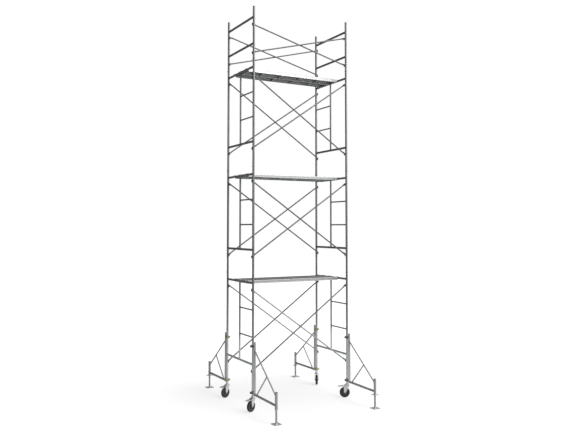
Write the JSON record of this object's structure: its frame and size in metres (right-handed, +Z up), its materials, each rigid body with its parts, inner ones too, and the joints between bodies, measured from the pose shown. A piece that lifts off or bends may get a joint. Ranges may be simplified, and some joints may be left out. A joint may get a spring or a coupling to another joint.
{
  "type": "mobile tower scaffold",
  "caption": "Galvanised steel mobile scaffold tower with ladder end frames, crossed braces, work decks, braked castors and swing-out outriggers with screw jacks.",
  "frame": {"origin": "on the floor, on the vertical line through the middle of the four posts, which is within 4 cm of the middle of the bounds", "axes": "+X along the decks from the left end frame to the right one, +Y from the front face to the rear face, +Z up"},
  "size_m": [2.3622, 3.12, 7.44],
  "materials": {
    "galvanised": "hot-dip galvanised steel tube, dull grey with a faint spangle",
    "deck_steel": "pre-galvanised folded sheet, lighter than the tubes",
    "cast_steel": "forged and galvanised fittings, dull grey",
    "yellow_zinc": "yellow passivated zinc plate on the rear couplers",
    "castor_zinc": "bright zinc-plated pressed steel",
    "tyre_black": "black solid rubber tyre"
  },
  "bodies": {
    "tower": {"base_frame_left": "galvanised", "base_frame_right": "galvanised", "middle_frame_left": "galvanised", "middle_frame_right": "galvanised", "upper_frame_left": "galvanised", "upper_frame_right": "galvanised", "guard_frame_left": "galvanised", "guard_frame_right": "galvanised", "base_brace_front_rising": "galvanised", "base_brace_front_falling": "galvanised", "base_brace_rear_rising": "galvanised", "base_brace_rear_falling": "galvanised", "middle_brace_front_rising": "galvanised", "middle_brace_front_falling": "galvanised", "middle_brace_rear_rising": "galvanised", "middle_brace_rear_falling": "galvanised", "upper_brace_front_rising": "galvanised", "upper_brace_front_falling": "galvanised", "upper_brace_rear_rising": "galvanised", "upper_brace_rear_falling": "galvanised", "guard_brace_front_rising": "galvanised", "guard_brace_front_falling": "galvanised", "guard_brace_rear_rising": "galvanised", "guard_brace_rear_falling": "galvanised", "lower_deck": "deck_steel", "middle_deck": "deck_steel", "upper_deck": "deck_steel"},
    "front_left_castor_fork": {"front_left_castor_fork": "castor_zinc"},
    "front_left_wheel": {"front_left_wheel": "tyre_black"},
    "front_left_brake_pedal": {"front_left_brake_pedal": "castor_zinc"},
    "front_left_outrigger": {"front_left_outrigger": "galvanised"},
    "front_left_jack_screw": {"front_left_jack_screw": "galvanised"},
    "front_left_jack_nut": {"front_left_jack_nut": "cast_steel"},
    "front_left_lower_coupler_jaw": {"front_left_lower_coupler_jaw": "cast_steel"},
    "front_left_upper_coupler_jaw": {"front_left_upper_coupler_jaw": "cast_steel"},
    "front_right_castor_fork": {"front_right_castor_fork": "castor_zinc"},
    "front_right_wheel": {"front_right_wheel": "tyre_black"},
    "front_right_brake_pedal": {"front_right_brake_pedal": "castor_zinc"},
    "front_right_outrigger": {"front_right_outrigger": "galvanised"},
    "front_right_jack_screw": {"front_right_jack_screw": "galvanised"},
    "front_right_jack_nut": {"front_right_jack_nut": "cast_steel"},
    "front_right_lower_coupler_jaw": {"front_right_lower_coupler_jaw": "cast_steel"},
    "front_right_upper_coupler_jaw": {"front_right_upper_coupler_jaw": "cast_steel"},
    "rear_left_castor_fork": {"rear_left_castor_fork": "castor_zinc"},
    "rear_left_wheel": {"rear_left_wheel": "tyre_black"},
    "rear_left_brake_pedal": {"rear_left_brake_pedal": "castor_zinc"},
    "rear_left_outrigger": {"rear_left_outrigger": "galvanised"},
    "rear_left_jack_screw": {"rear_left_jack_screw": "galvanised"},
    "rear_left_jack_nut": {"rear_left_jack_nut": "cast_steel"},
    "rear_left_lower_coupler_jaw": {"rear_left_lower_coupler_jaw": "yellow_zinc"},
    "rear_left_upper_coupler_jaw": {"rear_left_upper_coupler_jaw": "yellow_zinc"},
    "rear_right_castor_fork": {"rear_right_castor_fork": "castor_zinc"},
    "rear_right_wheel": {"rear_right_wheel": "tyre_black"},
    "rear_right_brake_pedal": {"rear_right_brake_pedal": "castor_zinc"},
    "rear_right_outrigger": {"rear_right_outrigger": "galvanised"},
    "rear_right_jack_screw": {"rear_right_jack_screw": "galvanised"},
    "rear_right_jack_nut": {"rear_right_jack_nut": "cast_steel"},
    "rear_right_lower_coupler_jaw": {"rear_right_lower_coupler_jaw": "yellow_zinc"},
    "rear_right_upper_coupler_jaw": {"rear_right_upper_coupler_jaw": "yellow_zinc"}
  },
  "joints": [
    {"name": "front_left_castor_swivel", "type": "hinge", "parent": "tower", "child": "front_left_castor_fork", "pos_m": [-1.025, -0.575, 0.27], "axis": [0, 0, 1], "continuous": true},
    {"name": "front_left_wheel_spin", "type": "hinge", "parent": "front_left_castor_fork", "child": "front_left_wheel", "pos_m": [-1.07068, -0.59534, 0.1], "axis": [0.4067, -0.9135, 0], "continuous": true},
    {"name": "front_left_brake", "type": "hinge", "parent": "front_left_castor_fork", "child": "front_left_brake_pedal", "pos_m": [-1.0725, -0.59615, 0.2215], "axis": [0.4067, -0.9135, 0], "range_deg": [-20, 14]},
    {"name": "front_left_outrigger_swing", "type": "hinge", "parent": "tower", "child": "front_left_outrigger", "pos_m": [-1.025, -0.575, 0.75], "axis": [0, 0, -1], "range_deg": [-90, 90]},
    {"name": "front_left_jack_nut_turn", "type": "hinge", "parent": "front_left_outrigger", "child": "front_left_jack_nut", "pos_m": [-1.025, -1.485, 0.25], "axis": [0, 0, 1], "range_deg": [-7200, 5400]},
    {"name": "front_left_jack_slide", "type": "slide", "parent": "front_left_outrigger", "child": "front_left_jack_screw", "axis": [0, 0, 1], "range_m": [-0.12, 0.16]},
    {"name": "front_left_lower_coupler_opening", "type": "hinge", "parent": "front_left_outrigger", "child": "front_left_lower_coupler_jaw", "pos_m": [-0.984, -0.575, 0.335], "axis": [0, 0, -1], "range_deg": [0, 100]},
    {"name": "front_left_upper_coupler_opening", "type": "hinge", "parent": "front_left_outrigger", "child": "front_left_upper_coupler_jaw", "pos_m": [-0.984, -0.575, 1.165], "axis": [0, 0, -1], "range_deg": [0, 100]},
    {"name": "front_right_castor_swivel", "type": "hinge", "parent": "tower", "child": "front_right_castor_fork", "pos_m": [1.025, -0.575, 0.27], "axis": [0, 0, 1], "continuous": true},
    {"name": "front_right_wheel_spin", "type": "hinge", "parent": "front_right_castor_fork", "child": "front_right_wheel", "pos_m": [0.98127, -0.55076, 0.1], "axis": [-0.4848, -0.8746, 0], "continuous": true},
    {"name": "front_right_brake", "type": "hinge", "parent": "front_right_castor_fork", "child": "front_right_brake_pedal", "pos_m": [0.97952, -0.54979, 0.2215], "axis": [-0.4848, -0.8746, 0], "range_deg": [-20, 14]},
    {"name": "front_right_outrigger_swing", "type": "hinge", "parent": "tower", "child": "front_right_outrigger", "pos_m": [1.025, -0.575, 0.75], "axis": [0, 0, 1], "range_deg": [-90, 90]},
    {"name": "front_right_jack_nut_turn", "type": "hinge", "parent": "front_right_outrigger", "child": "front_right_jack_nut", "pos_m": [1.025, -1.485, 0.25], "axis": [0, 0, 1], "range_deg": [-7200, 5400]},
    {"name": "front_right_jack_slide", "type": "slide", "parent": "front_right_outrigger", "child": "front_right_jack_screw", "axis": [0, 0, 1], "range_m": [-0.12, 0.16]},
    {"name": "front_right_lower_coupler_opening", "type": "hinge", "parent": "front_right_outrigger", "child": "front_right_lower_coupler_jaw", "pos_m": [1.066, -0.575, 0.335], "axis": [0, 0, -1], "range_deg": [0, 100]},
    {"name": "front_right_upper_coupler_opening", "type": "hinge", "parent": "front_right_outrigger", "child": "front_right_upper_coupler_jaw", "pos_m": [1.066, -0.575, 1.165], "axis": [0, 0, -1], "range_deg": [0, 100]},
    {"name": "rear_left_castor_swivel", "type": "hinge", "parent": "tower", "child": "rear_left_castor_fork", "pos_m": [-1.025, 0.575, 0.27], "axis": [0, 0, 1], "continuous": true},
    {"name": "rear_left_wheel_spin", "type": "hinge", "parent": "rear_left_castor_fork", "child": "rear_left_wheel", "pos_m": [-1.07198, 0.5579, 0.1], "axis": [0.342, -0.9397, 0], "continuous": true},
    {"name": "rear_left_brake", "type": "hinge", "parent": "rear_left_castor_fork", "child": "rear_left_brake_pedal", "pos_m": [-1.07386, 0.55722, 0.2215], "axis": [0.342, -0.9397, 0], "range_deg": [-20, 14]},
    {"name": "rear_left_outrigger_swing", "type": "hinge", "parent": "tower", "child": "rear_left_outrigger", "pos_m": [-1.025, 0.575, 0.75], "axis": [0, 0, 1], "range_deg": [-90, 90]},
    {"name": "rear_left_jack_nut_turn", "type": "hinge", "parent": "rear_left_outrigger", "child": "rear_left_jack_nut", "pos_m": [-1.025, 1.485, 0.25], "axis": [0, 0, 1], "range_deg": [-7200, 5400]},
    {"name": "rear_left_jack_slide", "type": "slide", "parent": "rear_left_outrigger", "child": "rear_left_jack_screw", "axis": [0, 0, 1], "range_m": [-0.12, 0.16]},
    {"name": "rear_left_lower_coupler_opening", "type": "hinge", "parent": "rear_left_outrigger", "child": "rear_left_lower_coupler_jaw", "pos_m": [-1.066, 0.575, 0.335], "axis": [0, 0, -1], "range_deg": [0, 100]},
    {"name": "rear_left_upper_coupler_opening", "type": "hinge", "parent": "rear_left_outrigger", "child": "rear_left_upper_coupler_jaw", "pos_m": [-1.066, 0.575, 1.165], "axis": [0, 0, -1], "range_deg": [0, 100]},
    {"name": "rear_right_castor_swivel", "type": "hinge", "parent": "tower", "child": "rear_right_castor_fork", "pos_m": [1.025, 0.575, 0.27], "axis": [0, 0, 1], "continuous": true},
    {"name": "rear_right_wheel_spin", "type": "hinge", "parent": "rear_right_castor_fork", "child": "rear_right_wheel", "pos_m": [1.04924, 0.61873, 0.1], "axis": [-0.8746, 0.4848, 0], "continuous": true},
    {"name": "rear_right_brake", "type": "hinge", "parent": "rear_right_castor_fork", "child": "rear_right_brake_pedal", "pos_m": [1.05021, 0.62048, 0.2215], "axis": [-0.8746, 0.4848, 0], "range_deg": [-20, 14]},
    {"name": "rear_right_outrigger_swing", "type": "hinge", "parent": "tower", "child": "rear_right_outrigger", "pos_m": [1.025, 0.575, 0.75], "axis": [0, 0, -1], "range_deg": [-90, 90]},
    {"name": "rear_right_jack_nut_turn", "type": "hinge", "parent": "rear_right_outrigger", "child": "rear_right_jack_nut", "pos_m": [1.025, 1.485, 0.25], "axis": [0, 0, 1], "range_deg": [-7200, 5400]},
    {"name": "rear_right_jack_slide", "type": "slide", "parent": "rear_right_outrigger", "child": "rear_right_jack_screw", "axis": [0, 0, 1], "range_m": [-0.12, 0.16]},
    {"name": "rear_right_lower_coupler_opening", "type": "hinge", "parent": "rear_right_outrigger", "child": "rear_right_lower_coupler_jaw", "pos_m": [0.984, 0.575, 0.335], "axis": [0, 0, -1], "range_deg": [0, 100]},
    {"name": "rear_right_upper_coupler_opening", "type": "hinge", "parent": "rear_right_outrigger", "child": "rear_right_upper_coupler_jaw", "pos_m": [0.984, 0.575, 1.165], "axis": [0, 0, -1], "range_deg": [0, 100]}
  ],
  "couplings": [
    {"joint": "front_left_jack_slide", "follows": "front_left_jack_nut_turn", "m_per_rad": -0.0012732},
    {"joint": "front_right_jack_slide", "follows": "front_right_jack_nut_turn", "m_per_rad": -0.0012732},
    {"joint": "rear_left_jack_slide", "follows": "rear_left_jack_nut_turn", "m_per_rad": -0.0012732},
    {"joint": "rear_right_jack_slide", "follows": "rear_right_jack_nut_turn", "m_per_rad": -0.0012732}
  ]
}
